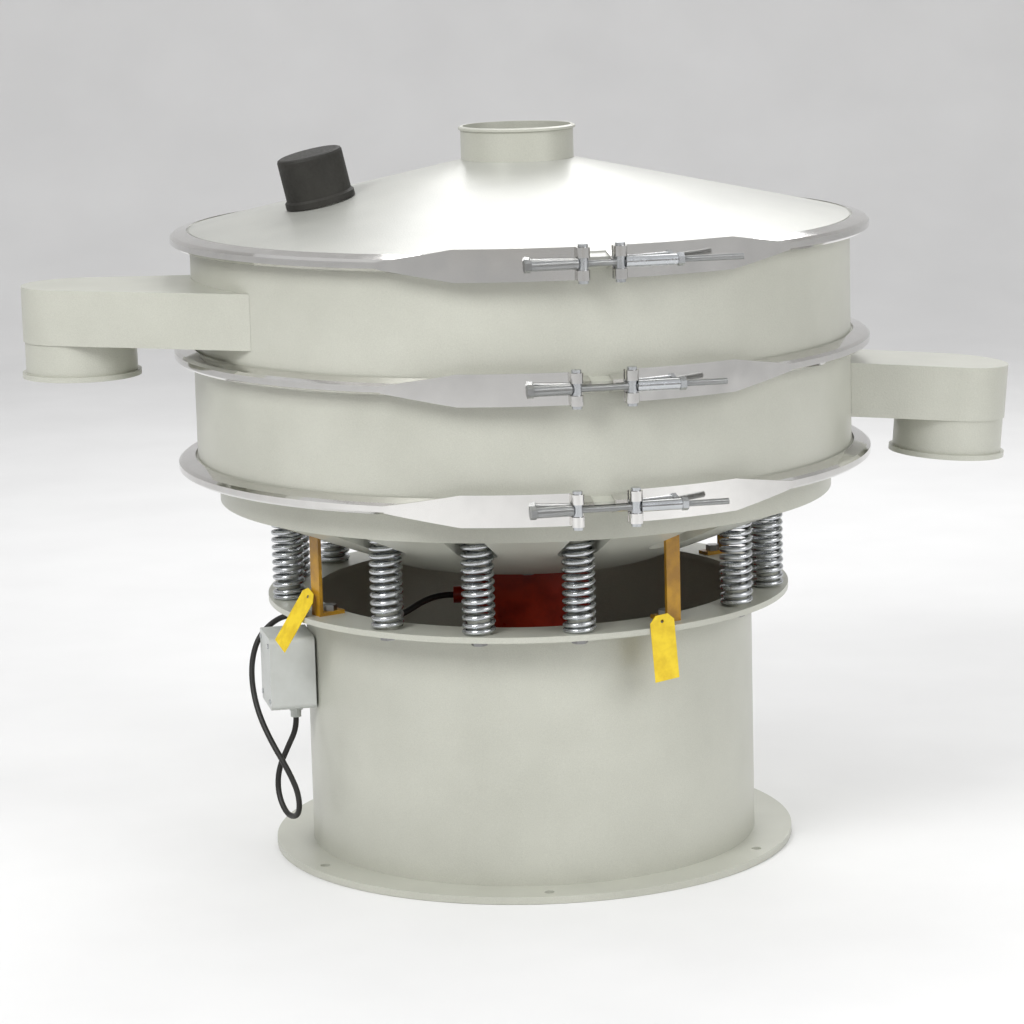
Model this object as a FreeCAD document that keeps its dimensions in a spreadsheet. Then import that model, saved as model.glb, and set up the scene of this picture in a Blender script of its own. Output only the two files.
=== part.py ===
"""Round vibrating sieve: two 914 mm frames on a sprung table with a vertical out-of-balance motor.

The origin is the centre of the base flange's underside, +Z is up and -Y is the front, where the
clamp closures are. Stations round the axis are given as degrees from the front towards +X.
"""
import FreeCAD, Part
import math
import os

import Sketcher

Vector = FreeCAD.Vector
Placement = FreeCAD.Placement
Rotation = FreeCAD.Rotation
UP = Vector(0, 0, 1)

# Driving sizes: millimetres, degrees and counts. The frame radius leads the other radii.
SIZES = {
    # frames and their joints
    "frame_radius": 457.0,
    "frame_wall": 3.0,
    "rim_width": 17.0,
    "rim_root_half": 9.9,
    "rim_tip_half": 5.8,
    "joint_gap": 4.0,
    "table_height": 52.0,
    "lower_frame_height": 155.0,
    "upper_frame_height": 158.0,
    "screen_ring_width": 26.0,
    "screen_ring_thickness": 2.0,
    "mesh_thickness": 1.0,
    "dome_edge_rise": 42.0,
    "dome_rise": 40.0,
    "dome_wall": 3.0,
    "seam_gap": 0.2,
    "edge_break": 1.5,
    "cut_margin": 1.0,
    # standing base
    "base_flange_margin": 52.5,
    "base_flange_lip": 14.5,
    "base_flange_thickness": 10.0,
    "anchor_edge": 22.0,
    "anchor_hole_radius": 7.0,
    "anchor_count": 6,
    "anchor_first_angle": 3.0,
    "drum_inset": 25.5,
    "drum_wall": 4.0,
    "drum_height": 345.0,
    "spring_ring_margin": 26.5,
    "spring_ring_lip": 12.5,
    "spring_ring_thickness": 8.0,
    # springs and their seats
    "spring_circle_inset": 117.0,
    "spring_radius": 22.5,
    "wire_diameter": 7.0,
    "spring_turns": 12.5,
    "spring_length": 138.0,
    "first_spring_angle": -33.75,
    "spring_angle_step": 22.5,
    "seat_height": 24.0,
    "seat_clearance": 0.3,
    "spring_bolt_radius": 6.0,
    "spring_bolt_head_width": 19.0,
    "spring_bolt_head_height": 8.0,
    # transit brackets
    "bracket_width": 22.0,
    "bracket_thickness": 5.0,
    "bracket_foot": 34.0,
    "bracket_leg_offset": 3.0,
    "bracket_gap": 17.0,
    "bracket_bolt_radius": 5.0,
    "bracket_nut_width": 17.0,
    # sprung table
    "skirt_inset": 29.0,
    "skirt_wall": 4.0,
    "deck_margin": 44.0,
    "deck_thickness": 6.0,
    "motor_plate_margin": 86.0,
    "motor_plate_drop": 85.0,
    "motor_plate_thickness": 10.0,
    "cone_rise": 3.2,
    "pocket_half_width": 27.0,
    "pocket_wall": 3.0,
    # motor: lengths down or up from the underside of the motor plate
    "motor_radius": 88.0,
    "motor_length": 166.0,
    "motor_neck_step": 10.0,
    "motor_neck_height": 24.0,
    "motor_flange_margin": 17.0,
    "motor_flange_thickness": 12.0,
    "motor_bolt_offset": 17.0,
    "motor_bolt_radius": 6.0,
    "motor_bolt_count": 8,
    "end_cover_height": 22.0,
    "end_cover_step": 20.0,
    "shaft_radius": 15.0,
    "running_gap": 0.3,
    "shaft_drop": 251.0,
    "shaft_rise": 92.0,
    "weight_reach": 20.0,
    "weight_hub_wall": 17.0,
    "upper_weight_height": 40.0,
    "upper_weight_rise": 36.0,
    "lower_weight_height": 36.0,
    "lower_weight_drop": 238.0,
    "motor_gland_drop": 68.0,
    "motor_gland_radius": 12.0,
    "motor_gland_length": 18.0,
    "motor_lead_radius": 4.5,
    # lid
    "lid_edge_rise": 11.5,
    "lid_rise": 84.5,
    "lid_wall": 3.0,
    "spout_radius": 78.0,
    "spout_wall": 3.0,
    "spout_height": 46.0,
    "spout_bead_width": 3.0,
    "spout_bead_height": 6.0,
    "port_station": -71.0,
    "port_inset": 173.0,
    "port_radius": 41.0,
    "port_wall": 3.0,
    "port_height": 32.0,
    "cap_wall": 4.0,
    "cap_height": 69.0,
    "cap_lip": 3.0,
    "cap_lip_height": 8.0,
    "cap_top_wall": 5.0,
    "cap_edge": 4.0,
    # outlets: reach past the frame, offset of the centre line from the sieve's axis
    "trough_half_width": 78.0,
    "outlet_wall": 3.0,
    "trough_height": 75.0,
    "trough_root_depth": 262.0,
    "pipe_radius": 76.0,
    "pipe_bead_width": 5.0,
    "pipe_bead_height": 7.0,
    "upper_outlet_angle": 159.0,
    "upper_outlet_droop_angle": 0.0,
    "upper_outlet_flare_angle": 19.6,
    "upper_outlet_reach": 66.0,
    "upper_outlet_offset": 317.0,
    "upper_outlet_rise": 32.0,
    "upper_pipe_length": 50.0,
    "lower_outlet_angle": 3.7,
    "lower_outlet_droop_angle": 4.5,
    "lower_outlet_flare_angle": 0.0,
    "lower_outlet_reach": 143.5,
    "lower_outlet_offset": -7.0,
    "lower_outlet_rise": 43.0,
    "lower_pipe_length": 55.0,
    # clamps: lengths along the bolt are from the middle of the closure
    "band_root_gap": 3.5,
    "band_reach": 9.5,
    "band_shoulder": 4.5,
    "band_half_height": 12.0,
    "band_shoulder_half": 7.5,
    "band_nose_half": 4.0,
    "band_thickness": 2.5,
    "band_gap_angle": 3.4,
    "closure_station": 12.0,
    "strap_clearance": 0.5,
    "strap_thickness": 2.5,
    "strap_half_height": 21.0,
    "strap_tip_half": 5.0,
    "strap_taper_start": 182.0,
    "strap_end_angle": 34.0,
    "loop_radius": 9.0,
    "loop_offset": 6.5,
    "trunnion_radius": 6.5,
    "trunnion_half_height": 25.0,
    "slot_half_height": 8.0,
    "clamp_bolt_radius": 4.0,
    "clamp_sleeve_radius": 7.0,
    "clamp_nut_width": 15.0,
    "clamp_nut_height": 8.0,
    "clamp_head_reach": 92.0,
    "clamp_nut_reach": 98.0,
    "top_closure_half": 24.0,
    "middle_closure_half": 36.0,
    "bottom_closure_half": 38.0,
    "top_bolt_end": 184.0,
    "lower_bolt_end": 160.0,
    # junction box and cables
    "box_station": -78.0,
    "box_drop": 141.0,
    "box_height": 102.0,
    "box_half_width": 47.0,
    "box_depth": 46.0,
    "box_cover_depth": 17.0,
    "box_corner": 8.0,
    "box_screw_radius": 3.5,
    "gland_radius": 9.0,
    "gland_length": 20.0,
    "gland_run": 17.0,
    "cable_radius": 4.0,
    "cable_loop_reach": 80.0,
    "bush_station": -86.0,
    "bush_drop": 25.0,
    "bush_radius": 10.0,
    "bush_reach": 6.0,
    "bush_run": 21.0,
    # tags
    "tag_width": 37.0,
    "tag_height": 90.0,
    "tag_thickness": 0.8,
    "tie_radius": 1.0,
}

doc = FreeCAD.newDocument("vibrating_sieve")
sheet = doc.addObject("Spreadsheet::Sheet", "Sizes")
for row, (name, value) in enumerate(SIZES.items(), start=1):
    sheet.set(f"A{row}", name)
    sheet.set(f"B{row}", str(value))
    sheet.setAlias(f"B{row}", name)
doc.recompute()

DERIVED = {}
NODES = {}


class Size:
    """A length with both its number and the sheet expression that drives it."""

    def __init__(self, number, formula):
        self.number = float(number)
        self.formula = formula

    def __float__(self):
        return self.number

    def __add__(self, other):
        other = as_size(other)
        return Size(self.number + other.number, f"({self.formula} + {other.formula})")

    def __sub__(self, other):
        other = as_size(other)
        return Size(self.number - other.number, f"({self.formula} - {other.formula})")

    def __mul__(self, other):
        other = as_size(other)
        return Size(self.number * other.number, f"({self.formula} * {other.formula})")

    def __truediv__(self, other):
        other = as_size(other)
        return Size(self.number / other.number, f"({self.formula} / {other.formula})")

    def __radd__(self, other):
        return as_size(other) + self

    def __rsub__(self, other):
        return as_size(other) - self

    def __rmul__(self, other):
        return as_size(other) * self

    def __neg__(self):
        return as_size(0) - self


def as_size(item):
    """A Size as it is, and a plain number as a Size without a cell."""
    if isinstance(item, Size):
        return item
    return Size(item, repr(float(item)))


class SheetSizes:
    """Each cell of the sheet as a Size, by its alias."""

    def __getattr__(self, name):
        number = SIZES[name] if name in SIZES else DERIVED[name]
        return Size(number, f"Sizes.{name}")


size = SheetSizes()


def derive(name, value):
    """Add a size that follows from others to the sheet, as a formula under its own name."""
    cell = len(SIZES) + len(DERIVED) + 1
    DERIVED[name] = value.number
    sheet.set(f"A{cell}", name)
    sheet.set(f"B{cell}", "=" + value.formula.replace("Sizes.", ""))
    sheet.setAlias(f"B{cell}", name)
    return getattr(size, name)


def sine(angle):
    """The sine of an angle in degrees."""
    return Size(math.sin(math.radians(float(angle))), f"sin({angle.formula} * 1 deg)")


def cosine(angle):
    """The cosine of an angle in degrees."""
    return Size(math.cos(math.radians(float(angle))), f"cos({angle.formula} * 1 deg)")


# ---- tools for sketches and features -------------------------------------------------------

def bind(item, prop, value):
    """Drive one property from the sheet."""
    item.setExpression(prop, as_size(value).formula)


def body(label):
    """An empty body that may hold several separate solids."""
    item = doc.addObject("PartDesign::Body", label)
    item.Label = label
    item.AllowCompound = True
    return item


def origin_part(item, role):
    """One plane or axis of the body's own origin."""
    for feature in item.Origin.OriginFeatures:
        if feature.Role == role:
            return feature
    raise ValueError(role)


def sketch(item, name, role="XY_Plane", lift=None, offset=None):
    """An empty sketch on a plane of the body, raised by lift or moved by a placement."""
    drawing = item.newObject("Sketcher::SketchObject", name)
    drawing.AttachmentSupport = [(origin_part(item, role), "")]
    drawing.MapMode = "FlatFace"
    if offset is not None:
        drawing.AttachmentOffset = offset
    if lift is not None:
        bind(drawing, "AttachmentOffset.Base.z", lift)
    return drawing


def place_point(drawing, edge, spot, kind, value):
    """Hold one point of an edge at a distance from the sketch's origin."""
    number = drawing.addConstraint(Sketcher.Constraint(kind, -1, 1, edge, spot, float(value)))
    if isinstance(value, Size):
        drawing.setExpression(f"Constraints[{number}]", value.formula)


def polygon(drawing, points):
    """A closed outline whose corners are held at sheet sizes; a corner at x = 0 is on the axis."""
    corners = [Vector(float(x), float(y), 0) for x, y in points]
    first = drawing.GeometryCount
    count = len(corners)
    for index in range(count):
        drawing.addGeometry(Part.LineSegment(corners[index], corners[(index + 1) % count]))
    for index in range(count):
        following = first + (index + 1) % count
        drawing.addConstraint(Sketcher.Constraint("Coincident", first + index, 2, following, 1))
    for index, (x, y) in enumerate(points):
        if float(x) == 0:
            drawing.addConstraint(Sketcher.Constraint("PointOnObject", first + index, 1, -2))
        else:
            place_point(drawing, first + index, 1, "DistanceX", x)
        place_point(drawing, first + index, 1, "DistanceY", y)


def circle(drawing, x, y, radius):
    """A circle whose centre and radius are sheet sizes."""
    edge = drawing.GeometryCount
    centre = Vector(float(x), float(y), 0)
    drawing.addGeometry(Part.Circle(centre, UP, float(radius)))
    if float(x) == 0:
        drawing.addConstraint(Sketcher.Constraint("PointOnObject", edge, 3, -2))
    else:
        place_point(drawing, edge, 3, "DistanceX", x)
    if float(y) == 0:
        drawing.addConstraint(Sketcher.Constraint("PointOnObject", edge, 3, -1))
    else:
        place_point(drawing, edge, 3, "DistanceY", y)
    number = drawing.addConstraint(Sketcher.Constraint("Radius", edge, float(radius)))
    if isinstance(radius, Size):
        drawing.setExpression(f"Constraints[{number}]", radius.formula)


def hexagon(drawing, width, x=0.0, y=0.0):
    """A hexagon by its width across flats."""
    corner = width / math.sqrt(3)
    points = []
    for index in range(6):
        angle = math.radians(30 + 60 * index)
        points.append((x + corner * math.cos(angle), y + corner * math.sin(angle)))
    polygon(drawing, points)


def revolution(item, name, points, angle=360.0):
    """Turn a profile of (radius, height) corners about the body's Z axis."""
    drawing = sketch(item, name + "_profile", "XZ_Plane")
    polygon(drawing, points)
    feature = item.newObject("PartDesign::Revolution", name)
    feature.Profile = drawing
    feature.ReferenceAxis = (drawing, ["V_Axis"])
    feature.Angle = float(angle)
    if isinstance(angle, Size):
        bind(feature, "Angle", angle)
    return feature


def groove(item, name, points):
    """Cut away a turned profile of (radius, height) corners."""
    drawing = sketch(item, name + "_profile", "XZ_Plane")
    polygon(drawing, points)
    feature = item.newObject("PartDesign::Groove", name)
    feature.Profile = drawing
    feature.ReferenceAxis = (drawing, ["V_Axis"])
    feature.Angle = 360
    return feature


def pad(item, name, drawing, length, both_ways=False):
    """Raise a sketch along its normal."""
    feature = item.newObject("PartDesign::Pad", name)
    feature.Profile = drawing
    feature.Midplane = both_ways
    bind(feature, "Length", length)
    return feature


def pocket(item, name, drawing, length, both_ways=False, upward=False):
    """Cut a sketch downwards from its plane, upwards, or both ways."""
    feature = item.newObject("PartDesign::Pocket", name)
    feature.Profile = drawing
    feature.Midplane = both_ways
    feature.Reversed = upward
    bind(feature, "Length", length)
    return feature


def polar(item, name, originals, count, angle=360.0):
    """Repeat features round the body's Z axis."""
    feature = item.newObject("PartDesign::PolarPattern", name)
    feature.Originals = originals
    feature.Axis = (origin_part(item, "Z_Axis"), [""])
    feature.Angle = angle
    if isinstance(count, Size):
        bind(feature, "Occurrences", count)
    else:
        feature.Occurrences = count
    item.Tip = feature
    return feature


def groups_of_three(item, name, originals):
    """Repeat features at three stations in a row, in each quarter of the circle."""
    row = item.newObject("PartDesign::PolarPattern", name + "_row")
    row.Axis = (origin_part(item, "Z_Axis"), [""])
    row.Angle = 2 * STATION_STEP
    row.Occurrences = 3
    quarters = item.newObject("PartDesign::PolarPattern", name + "_quarters")
    quarters.Axis = (origin_part(item, "Z_Axis"), [""])
    quarters.Angle = 360
    quarters.Occurrences = 4
    feature = item.newObject("PartDesign::MultiTransform", name)
    feature.Originals = originals
    feature.Transformations = [row, quarters]
    item.Tip = feature
    return feature


def station(angle, radius=0.0, height=0.0):
    """A place whose own +X points outwards at a station round the axis."""
    turn = Placement(Vector(), Rotation(UP, float(angle) - 90))
    return turn * Placement(Vector(float(radius), 0, float(height)), Rotation())


def node(label, item, place=None):
    """Name a finished sub-part; its label is its file's name."""
    if place is not None:
        item.Placement = place
    NODES[label] = item
    return item


def gather(label, masters, places):
    """One sub-part of separate solids: each master's shape linked at its places."""
    links = []
    for number, (master, place) in enumerate(zip(masters, places), start=1):
        link = doc.addObject("App::Link", f"{label}_{number}")
        link.LinkedObject = master
        link.Placement = place
        links.append(link)
    group = doc.addObject("Part::Compound", label)
    group.Label = label
    group.Links = links
    return node(label, group)


# ---- levels and stations that several pieces share ------------------------------------------

derive("spring_circle_radius", size.frame_radius - size.spring_circle_inset)
derive("drum_radius", size.spring_circle_radius - size.drum_inset)
derive("base_flange_radius", size.drum_radius + size.base_flange_margin)
derive("base_flange_bore", size.drum_radius - size.base_flange_lip)
derive("anchor_circle_radius", size.base_flange_radius - size.anchor_edge)
derive("spring_ring_radius", size.spring_circle_radius + size.spring_ring_margin)
derive("spring_ring_bore", size.drum_radius - size.spring_ring_lip)
derive("bracket_leg_radius", size.spring_circle_radius + size.bracket_leg_offset)
derive("skirt_radius", size.frame_radius - size.skirt_inset)
derive("deck_bore", size.spring_circle_radius - size.deck_margin)
derive("rim_radius", size.frame_radius + size.rim_width)
derive("band_inner_radius", size.frame_radius + size.band_root_gap)
derive("band_nose_radius", size.rim_radius + size.band_reach)
derive("motor_neck_radius", size.motor_radius - size.motor_neck_step)
derive("motor_bolt_circle_radius", size.motor_radius + size.motor_bolt_offset)
derive("motor_flange_radius", size.motor_bolt_circle_radius + size.motor_flange_margin)
derive("motor_plate_radius", size.motor_flange_radius + size.motor_plate_margin)
derive("end_cover_radius", size.motor_radius - size.end_cover_step)
derive("weight_radius", size.motor_radius + size.weight_reach)
derive("weight_hub_radius", size.shaft_radius + size.weight_hub_wall)
derive("port_circle_radius", size.frame_radius - size.port_inset)
derive("cap_radius", size.port_radius + size.cap_wall)
derive("trough_root", size.frame_radius - size.trough_root_depth)

ring_bottom = derive("ring_bottom", size.base_flange_thickness + size.drum_height)
ring_top = derive("ring_top", ring_bottom + size.spring_ring_thickness)
deck_bottom = derive("deck_bottom", ring_top + size.spring_length)
plate_bottom = derive("plate_bottom", deck_bottom - size.motor_plate_drop)
plate_top = derive("plate_top", plate_bottom + size.motor_plate_thickness)
derive("motor_bottom", plate_bottom - size.motor_length)
derive("shaft_bottom", plate_bottom - size.shaft_drop)
derive("shaft_top", plate_bottom + size.shaft_rise)
derive("upper_weight_bottom", plate_bottom + size.upper_weight_rise)
derive("lower_weight_bottom", plate_bottom - size.lower_weight_drop)
derive("motor_gland_height", plate_bottom - size.motor_gland_drop)
derive("bottom_joint", deck_bottom + size.table_height)
derive("middle_joint", size.bottom_joint + size.lower_frame_height)
derive("top_joint", size.middle_joint + size.upper_frame_height)
derive("lid_edge", size.top_joint + size.lid_edge_rise)
derive("lid_top", size.lid_edge + size.lid_rise)
derive("spout_top", size.lid_top + size.spout_height)
derive("box_bottom", ring_bottom - size.box_drop)
derive("bush_height", ring_bottom - size.bush_drop)

coil_bore = size.spring_radius - size.wire_diameter
seat_radius = coil_bore - size.seat_clearance
bracket_bolt_line = size.bracket_leg_radius - size.bracket_foot / 2
joint_half = size.joint_gap / 2
doc.recompute()

STATION_STEP = float(size.spring_angle_step)
SPRING_GROUPS = ("springs_front", "springs_right", "springs_back", "springs_left")
BRACKET_STATIONS = [STATION_STEP * 1.5 + 90 * quarter for quarter in range(-1, 3)]
SPRING_STARTS = [float(size.first_spring_angle) + 90 * quarter for quarter in range(4)]
SPRING_STATIONS = [start + STATION_STEP * step for start in SPRING_STARTS for step in range(3)]


def at_springs(label, master, height):
    """The same piece at every spring."""
    places = [station(angle, size.spring_circle_radius, height) for angle in SPRING_STATIONS]
    return gather(label, [master] * len(places), places)


def at_brackets(label, master, radius, height):
    """The same piece at every transit bracket."""
    places = [station(angle, radius, height) for angle in BRACKET_STATIONS]
    return gather(label, [master] * len(places), places)


def hex_bolt(label, shank_radius, shank_length, head_width, head_height):
    """A hex bolt whose shank points up from the head's seat at z = 0."""
    item = body(label)
    drawing = sketch(item, label + "_shank_circle")
    circle(drawing, 0, 0, shank_radius)
    pad(item, label + "_shank", drawing, shank_length)
    drawing = sketch(item, label + "_head_hexagon", lift=-head_height)
    hexagon(drawing, head_width)
    pad(item, label + "_head", drawing, head_height)
    return item


# ---- standing base ---------------------------------------------------------------------------

def make_base():
    """Floor flange, drum and spring ring."""
    flange = body("base_flange")
    revolution(flange, "flange_ring", [
        (size.base_flange_bore, 0),
        (size.base_flange_radius, 0),
        (size.base_flange_radius, size.base_flange_thickness),
        (size.base_flange_bore, size.base_flange_thickness),
    ])
    drawing = sketch(flange, "anchor_circle", lift=size.base_flange_thickness)
    circle(drawing, size.anchor_circle_radius, 0, size.anchor_hole_radius)
    hole = pocket(flange, "anchor_hole", drawing, size.base_flange_thickness * 2)
    polar(flange, "anchor_holes", [hole], size.anchor_count)
    node("base_flange", flange, station(size.anchor_first_angle))

    drum = body("base_drum")
    inner = size.drum_radius - size.drum_wall
    revolution(drum, "drum_shell", [
        (inner, size.base_flange_thickness),
        (size.drum_radius, size.base_flange_thickness),
        (size.drum_radius, ring_bottom),
        (inner, ring_bottom),
    ])
    drawing = sketch(drum, "bush_circle", "YZ_Plane")
    circle(drawing, 0, size.bush_height, size.bush_radius + size.seam_gap)
    pocket(drum, "bush_hole", drawing, size.drum_radius * 2, upward=True)
    node("base_drum", drum, station(size.bush_station))

    ring = body("spring_ring")
    revolution(ring, "ring_plate", [
        (size.spring_ring_bore, ring_bottom),
        (size.spring_ring_radius, ring_bottom),
        (size.spring_ring_radius, ring_top),
        (size.spring_ring_bore, ring_top),
    ])
    step = math.radians(STATION_STEP)
    drawing = sketch(ring, "spring_bolt_circle", lift=ring_top)
    circle(drawing, size.spring_circle_radius * math.cos(step),
           size.spring_circle_radius * math.sin(step), size.spring_bolt_radius + size.seat_clearance)
    hole = pocket(ring, "spring_bolt_hole", drawing, size.spring_ring_thickness * 2)
    groups_of_three(ring, "spring_bolt_holes", [hole])
    drawing = sketch(ring, "bracket_bolt_circle", lift=ring_top)
    circle(drawing, bracket_bolt_line, 0, size.bracket_bolt_radius + size.seat_clearance)
    hole = pocket(ring, "bracket_bolt_hole", drawing, size.spring_ring_thickness * 2)
    polar(ring, "bracket_bolt_holes", [hole], 4)
    node("spring_ring", ring, station(BRACKET_STATIONS[0]))


def make_coil():
    """One compression spring: round wire swept up a helix, its ends ground flat to length."""
    pitch = size.spring_length / size.spring_turns
    mean_radius = size.spring_radius - size.wire_diameter / 2
    path = doc.addObject("Part::Helix", "coil_path")
    bind(path, "Radius", mean_radius)
    bind(path, "Pitch", pitch)
    bind(path, "Height", size.spring_length + pitch)
    bind(path, "Placement.Base.z", -pitch / 2)
    wire = doc.addObject("Part::Circle", "coil_wire")
    wire.Placement.Rotation = Rotation(Vector(1, 0, 0), 90)
    bind(wire, "Radius", size.wire_diameter / 2)
    bind(wire, "Placement.Base.x", mean_radius)
    bind(wire, "Placement.Base.z", -pitch / 2)
    sweep = doc.addObject("Part::Sweep", "coil_sweep")
    sweep.Sections = [wire]
    sweep.Spine = (path, [])
    sweep.Solid = True
    sweep.Frenet = True
    grind = doc.addObject("Part::Cylinder", "coil_ends")
    bind(grind, "Radius", size.spring_radius + size.cut_margin)
    bind(grind, "Height", size.spring_length)
    coil = doc.addObject("Part::MultiCommon", "coil_spring")
    coil.Shapes = [sweep, grind]
    return coil


def make_springs():
    """Springs in four groups of three, with the seats inside their ends and the bolts below."""
    coil = make_coil()
    for label, start in zip(SPRING_GROUPS, SPRING_STARTS):
        angles = [start + STATION_STEP * step for step in range(3)]
        places = [station(angle, size.spring_circle_radius, ring_top) for angle in angles]
        gather(label, [coil] * 3, places)

    lower = body("lower_seat")
    drawing = sketch(lower, "lower_seat_ring")
    circle(drawing, 0, 0, seat_radius)
    circle(drawing, 0, 0, size.spring_bolt_radius + size.seat_clearance / 2)
    pad(lower, "lower_seat_stub", drawing, size.seat_height)
    at_springs("lower_spring_seats", lower, ring_top)

    upper = body("upper_seat")
    drawing = sketch(upper, "upper_seat_disc")
    circle(drawing, 0, 0, seat_radius)
    pad(upper, "upper_seat_stub", drawing, size.seat_height)
    at_springs("upper_spring_seats", upper, deck_bottom - size.seat_height)

    bolt = hex_bolt(
        "spring_bolt", size.spring_bolt_radius, size.spring_ring_thickness + size.seat_height,
        size.spring_bolt_head_width, size.spring_bolt_head_height,
    )
    at_springs("spring_bolts", bolt, ring_bottom)


def make_brackets():
    """Yellow transit brackets: an angle iron with its foot bolted to the ring."""
    height = size.spring_length - size.bracket_gap
    bracket = body("transit_bracket")
    drawing = sketch(bracket, "bracket_profile", "XZ_Plane")
    polygon(drawing, [
        (-size.bracket_foot, 0),
        (size.bracket_thickness, 0),
        (size.bracket_thickness, height),
        (0, height),
        (0, size.bracket_thickness),
        (-size.bracket_foot, size.bracket_thickness),
    ])
    pad(bracket, "bracket_bar", drawing, size.bracket_width, both_ways=True)
    drawing = sketch(bracket, "bracket_hole_circle", lift=size.bracket_thickness)
    circle(drawing, -size.bracket_foot / 2, 0, size.bracket_bolt_radius + size.seat_clearance)
    pocket(bracket, "bracket_hole", drawing, size.bracket_thickness * 2)
    at_brackets("transit_brackets", bracket, size.bracket_leg_radius, ring_top)

    grip = size.spring_ring_thickness + size.bracket_thickness
    bolt = body("bracket_bolt")
    drawing = sketch(bolt, "bracket_bolt_circle", lift=-size.spring_bolt_head_height)
    circle(drawing, 0, 0, size.bracket_bolt_radius)
    pad(bolt, "bracket_bolt_shank", drawing, grip + size.spring_bolt_head_height * 2)
    for name, lift in (("nut", -size.spring_bolt_head_height), ("head", grip)):
        drawing = sketch(bolt, f"bracket_bolt_{name}_hexagon", lift=lift)
        hexagon(drawing, size.bracket_nut_width)
        pad(bolt, f"bracket_bolt_{name}", drawing, size.spring_bolt_head_height)
    at_brackets("transit_bracket_bolts", bolt, bracket_bolt_line, ring_bottom)


# ---- sprung table and motor ------------------------------------------------------------------

def make_table():
    """Skirt, flat deck over the springs, and the cone with a pocket for every station."""
    skirt = body("table_skirt")
    inner = size.skirt_radius - size.skirt_wall
    revolution(skirt, "skirt_shell", [
        (inner, deck_bottom),
        (size.skirt_radius, deck_bottom),
        (size.skirt_radius, size.bottom_joint - size.rim_root_half),
        (size.frame_radius, size.bottom_joint - size.rim_root_half),
        (size.rim_radius, size.bottom_joint - size.rim_tip_half),
        (size.rim_radius, size.bottom_joint - joint_half),
        (inner, size.bottom_joint - joint_half),
    ])
    node("table_skirt", skirt)

    deck = body("table_deck")
    revolution(deck, "deck_plate", [
        (size.deck_bore, deck_bottom),
        (inner - size.seam_gap, deck_bottom),
        (inner - size.seam_gap, deck_bottom + size.deck_thickness),
        (size.deck_bore, deck_bottom + size.deck_thickness),
    ])
    node("table_deck", deck)

    cone = body("table_cone")
    run = inner - size.motor_plate_radius
    slope = size.motor_plate_drop / run
    hole = size.motor_neck_radius + size.seam_gap
    plate_edge = size.motor_plate_radius + (size.motor_plate_thickness - size.cone_rise) / slope
    revolution(cone, "cone_shell", [
        (hole, plate_bottom),
        (size.motor_plate_radius, plate_bottom),
        (inner, deck_bottom),
        (inner - size.cone_rise / slope, deck_bottom),
        (plate_edge, plate_top),
        (hole, plate_top),
    ])
    outer_half = size.pocket_half_width + size.pocket_wall
    drawing = sketch(cone, "pocket_wall_outline", lift=plate_bottom)
    horseshoe(drawing, outer_half)
    horseshoe(drawing, size.pocket_half_width, overrun=0.5)
    walls = pad(cone, "pocket_walls", drawing, size.motor_plate_drop)
    polar(cone, "pocket_wall_ring", [walls], 16)
    groove(cone, "wall_trim", [
        (size.motor_plate_radius, plate_bottom),
        (size.skirt_radius * 1.5, plate_bottom),
        (size.skirt_radius * 1.5, deck_bottom),
        (inner, deck_bottom),
    ])
    drawing = sketch(cone, "pocket_outline", lift=plate_bottom)
    horseshoe(drawing, size.pocket_half_width)
    slot = pocket(cone, "pocket_slot", drawing, size.motor_plate_drop, upward=True)
    polar(cone, "pocket_slots", [slot], 16)
    node("table_cone", cone, station(STATION_STEP / 2))


def horseshoe(drawing, half, overrun=0.0):
    """A slot open outwards: round about the spring, straight-sided to past the skirt's edge."""
    centre = size.spring_circle_radius
    far = size.skirt_radius + overrun
    first = drawing.GeometryCount
    x, y, end = float(centre), float(half), float(far)
    drawing.addGeometry(Part.LineSegment(Vector(x, -y, 0), Vector(end, -y, 0)))
    drawing.addGeometry(Part.LineSegment(Vector(end, -y, 0), Vector(end, y, 0)))
    drawing.addGeometry(Part.LineSegment(Vector(end, y, 0), Vector(x, y, 0)))
    round_end = Part.Circle(Vector(x, 0, 0), UP, y)
    drawing.addGeometry(Part.ArcOfCircle(round_end, math.pi / 2, 3 * math.pi / 2))
    for index in range(2):
        drawing.addConstraint(
            Sketcher.Constraint("Coincident", first + index, 2, first + index + 1, 1))
    drawing.addConstraint(Sketcher.Constraint("Coincident", first + 2, 2, first + 3, 1))
    drawing.addConstraint(Sketcher.Constraint("Coincident", first + 3, 2, first, 1))
    place_point(drawing, first, 1, "DistanceX", centre)
    place_point(drawing, first, 1, "DistanceY", -half)
    place_point(drawing, first + 1, 1, "DistanceX", far)
    place_point(drawing, first + 1, 1, "DistanceY", -half)
    place_point(drawing, first + 2, 1, "DistanceX", far)
    place_point(drawing, first + 2, 1, "DistanceY", half)
    place_point(drawing, first + 2, 2, "DistanceX", centre)
    place_point(drawing, first + 2, 2, "DistanceY", half)
    place_point(drawing, first + 3, 3, "DistanceX", centre)


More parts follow.
